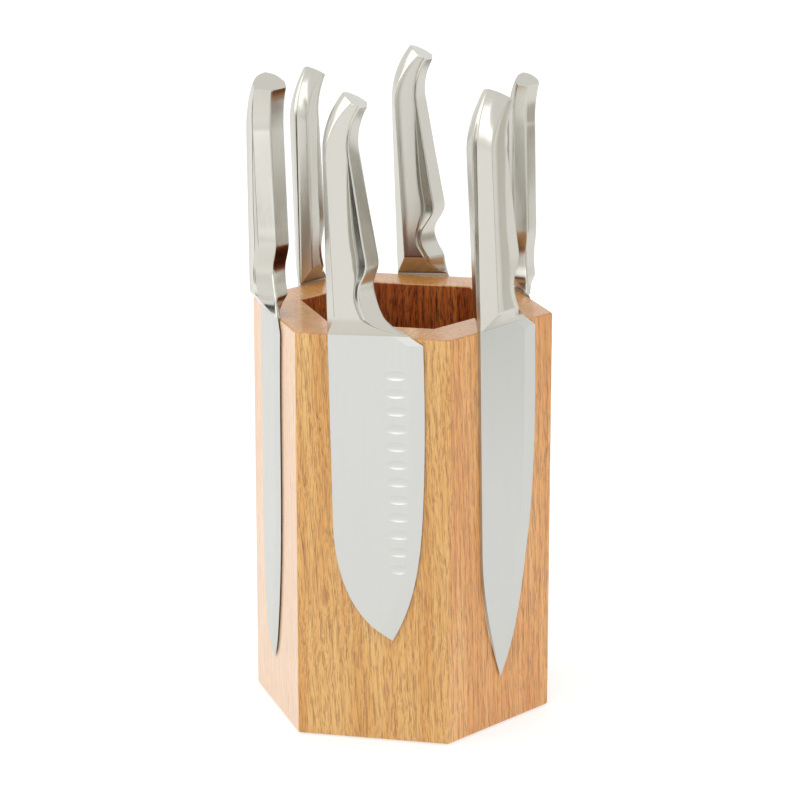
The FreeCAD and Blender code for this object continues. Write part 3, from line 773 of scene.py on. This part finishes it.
def straight_rings(handle, weld_width, slope):
    """Sections from the weld up to where the hook starts. The slope leans them away from the blade."""
    half, ramp, hook = handle["thickness"] / 2, handle["ramp_height"], handle["hook_start"]
    widths, bevels, flutes = handle_curves(handle, weld_width)
    spine_bevels = [(0, handle["foot_spine"]), (hook, handle["butt_spine"])]
    rings = []
    for step in range(STRAIGHT_STEPS + 1):
        t = step / STRAIGHT_STEPS
        height = hook * t * (1 - CROWDING + CROWDING * t)
        depth = BLADE_HALF + (half - BLADE_HALF) * min(height / ramp, 1.0)
        outline = section(handle, through(widths, height), depth, through(spine_bevels, height),
                          through(bevels, height), through(flutes, height), 0)
        rings.append(ring(Vector((-slope * height, 0, height)), Vector((1, 0, 0)), outline,
                          WELD_GROOVE if step == 0 else 0))
    return rings


print("straight part:", len(straight_rings(BROAD, BROAD["ramp_width"], 0)), "sections")

# %% The hook and the butt
HOOK_STEPS = 20
BUTT_EDGE = 0.35
BUTT_EDGE_START = 0.3    # the butt's edge is broken in two steps, the first this share of the whole
HOOK_THINNING = 0.45     # the belly's bevel loses this share of its width round the hook
SWELL_DELAY = 1.5        # a power above 1 keeps the swell for the last of the hook


def hook_rings(handle, slope):
    """Sections round the hook. The spine follows an arc while the sections tilt to the butt's angle."""
    hook, turn_end = handle["hook_start"], math.radians(handle["hook_turn"])
    radius = (handle["length"] - hook) / math.sin(turn_end)
    rings = []
    for step in range(1, HOOK_STEPS + 1):
        share = step / HOOK_STEPS
        turn, tilt = share * turn_end, share * math.radians(handle["butt_tilt"])
        width = handle["neck_width"] + share * (handle["butt_width"] - handle["neck_width"])
        height = hook + radius * math.sin(turn)
        spine = Vector((radius * (1 - math.cos(turn)) - slope * height, 0, height))
        across = Vector((math.cos(tilt), 0, -math.sin(tilt)))
        outline = section(handle, width, handle["thickness"] / 2, handle["butt_spine"],
                          handle["butt_bevel"] * (1 - HOOK_THINNING * share), handle["butt_flute"],
                          share ** SWELL_DELAY)
        rings.append(ring(spine, across, outline))
    out = Vector((math.sin(tilt), 0, math.cos(tilt)))
    rings[-1] = [p - out * BUTT_EDGE for p in rings[-1]]
    first_step = BUTT_EDGE * BUTT_EDGE_START
    rings.append(ring(spine - out * first_step, across, outline, first_step))
    rings.append(ring(spine, across, outline, BUTT_EDGE))
    return rings


def handle_rings(handle, weld_width, cant):
    """All sections of one handle as rings of points in the knife's own frame."""
    slope = math.tan(math.radians(cant))
    return straight_rings(handle, weld_width, slope) + hook_rings(handle, slope)


print("a handle has", len(handle_rings(BROAD, BROAD["ramp_width"], 0)), "sections")

# %% [markdown]
# Each knife lies flat on its own face and leans a degree or two towards its spine. One matrix takes a
# handle from its own frame, where the weld line is at height 0, to that place. The handle rides on its
# knife, so it goes along when the knife is pulled off the block.

# %% Seat the six handles
HANDLE_CREASE = 40       # degrees


def seat(knife):
    """Matrix from a knife's own frame to its place on the block."""
    side, hand, spine_at, lean = SEATS[knife][:4]
    place = Vector((spine_at * MM, -(APOTHEM + BLADE_HALF) * MM, (BLOCK_TOP + SEAT_GAP) * MM))
    matrix = Matrix.Rotation(side * SIDE_TURN, 4, "Z") @ Matrix.Translation(place)
    if hand < 0:
        matrix = matrix @ Matrix.Rotation(math.pi, 4, "Z")
    return matrix @ Matrix.Rotation(-math.radians(lean), 4, "Y")


for knife in KNIVES:
    cant, weld_width, pattern = SEATS[knife][4:]
    handle = loft(knife + "_handle_casting", handle_rings(pattern, weld_width, cant))
    polish(handle, HANDLE_CREASE)
    handle.data.transform(seat(knife))
    handle.data.materials.append(handle_steel)
    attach(handle, knife)
    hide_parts(knife + "_handle", knife + "_butt_plate")
    top = max(v.co.z for v in handle.data.vertices)
    model_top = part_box(knife + "_butt_plate")[1].z
    print(knife, len(handle.data.polygons), "faces, top at", round(top / MM, 1), "and in the model",
          round(model_top / MM, 1))

# %% [markdown]
# ## Studio
# A white sweep and soft lights suit both materials: oak wants even light, and steel shows only what
# it reflects. A bright room alone would make the steel one flat white, so four cards stand round the block,
# three dark and one grey. They are seen only in reflections, and draw the dark lines that give the handles
# their shape. The lights stay small and bright, because a large weak one would itself show as a grey patch.

# %% Cards
def card(name, azimuth, distance, width, height, low, colour):
    """Upright sheet that faces the block, azimuth counted from the front to the right."""
    bpy.ops.mesh.primitive_plane_add(size=1)
    sheet = bpy.context.object
    sheet.name = name
    turn = math.radians(azimuth)
    sheet.scale = (width, height, 1)
    sheet.rotation_euler = (math.pi / 2, 0, turn)
    sheet.location = (distance * math.sin(turn), -distance * math.cos(turn), low + height / 2)
    material, tree = new_material(name + "_card")
    glow = add(tree, "ShaderNodeEmission", {"Color": linear(colour), "Strength": 1.0})
    add(tree, "ShaderNodeOutputMaterial", {"Surface": glow.outputs[0]})
    sheet.data.materials.append(material)
    for ray in ("visible_camera", "visible_diffuse", "visible_shadow", "visible_transmission"):
        setattr(sheet, ray, False)


card("dark_left", -60, 0.55, 0.28, 0.26, 0.06, "#1E1B18")
card("dark_back", 168, 0.60, 0.26, 0.24, 0.06, "#5A534A")
card("dark_right", 46, 0.60, 0.12, 0.26, 0.06, "#2E2A26")
card("grey_right", 97, 0.60, 0.13, 0.26, 0.06, "#B9B1A4")

# %% [markdown]
# The floor is a wide matt disc that also glows a little. It stays white up to the block, and the soft
# shadow under the block still shows.

# %% Floor
FLOOR_RADIUS = 6         # metres, so that its rim is out of sight
bpy.ops.mesh.primitive_circle_add(vertices=96, radius=FLOOR_RADIUS, fill_type="NGON")
floor = bpy.context.object
floor.name = "floor"
floor_material, tree = new_material("matt_white_floor")
white = add(tree, "ShaderNodeBsdfPrincipled", {
    "Base Color": linear("#BFBFBF"), "Roughness": 0.9,
    "Emission Color": linear("#FFFFFF"), "Emission Strength": 0.56})
add(tree, "ShaderNodeOutputMaterial", {"Surface": white.outputs[0]})
floor.data.materials.append(floor_material)
print("floor at height", floor.location.z)

# %% [markdown]
# A warm key light stands to the left and lights the left face most. That face is the palest also because
# its oak has painted light in its colour. A fainter light fills in from the front. Around them the world
# is an even white room, a touch brighter near the horizon.

# %% Lights and white room
LIT_MIDDLE = Vector((0, 0, 0.16))      # the lights look at the middle of the object


def soft_light(name, azimuth, elevation, distance, size, power, colour="#FFFFFF"):
    """Square soft box that looks at the middle of the object."""
    lamp = bpy.data.lights.new(name, "AREA")
    lamp.size = size
    lamp.energy = power
    lamp.color = linear(colour)[:3]
    box = bpy.data.objects.new(name, lamp)
    turn, rise = math.radians(azimuth), math.radians(elevation)
    away = Vector((math.sin(turn) * math.cos(rise), -math.cos(turn) * math.cos(rise), math.sin(rise)))
    box.location = LIT_MIDDLE + away * distance
    box.rotation_euler = away.to_track_quat("Z", "Y").to_euler()
    box.visible_camera = False
    bpy.context.scene.collection.objects.link(box)


soft_light("key_left", -75, 24, 1.6, 1.1, 5, "#FFFAF4")
soft_light("fill_front", -12, 26, 2.2, 1.2, 5.8)
world = bpy.data.worlds.new("white_room")
world.use_nodes = True
sky = world.node_tree
look = add(sky, "ShaderNodeTexCoord")
look_parts = add(sky, "ShaderNodeSeparateXYZ", {0: look.outputs["Generated"]})
strength = add(sky, "ShaderNodeMapRange", {
    "Value": look_parts.outputs["Z"], "From Min": 0.1, "From Max": 0.8, "To Min": 1.04, "To Max": 1.0})
sky.nodes["Background"].inputs["Color"].default_value = linear("#FFFFFF")
sky.links.new(strength.outputs[0], sky.nodes["Background"].inputs["Strength"])
bpy.context.scene.world = world
bpy.context.scene.view_settings.view_transform = "Standard"

# %% [markdown]
# ## Camera
# A long lens from well back keeps the tall block's sides almost parallel, as in a catalogue picture. The
# camera stands a little to the right of the front face and looks slightly down.

# %% Camera
CAMERA_AZIMUTH = math.radians(12.28)
CAMERA_RISE = math.radians(15.46)
CAMERA_DISTANCE = 1798.3
LOOK_AT = Vector((-0.78, -0.17, 174.97))
LENS = 144.5
FULL_FRAME = 36
FURTHEST_SEEN = 50       # metres
camera_data = bpy.data.cameras.new("camera")
camera_data.lens = LENS
camera_data.sensor_width = FULL_FRAME
camera_data.clip_end = FURTHEST_SEEN
camera = bpy.data.objects.new("camera", camera_data)
bpy.context.scene.collection.objects.link(camera)
toward = Vector((math.sin(CAMERA_AZIMUTH) * math.cos(CAMERA_RISE),
                 -math.cos(CAMERA_AZIMUTH) * math.cos(CAMERA_RISE), math.sin(CAMERA_RISE)))
camera.location = (LOOK_AT + toward * CAMERA_DISTANCE) * MM
camera.rotation_euler = toward.to_track_quat("Z", "Y").to_euler()
bpy.context.scene.camera = camera
print("camera", round(camera.location.length, 2), "m away")
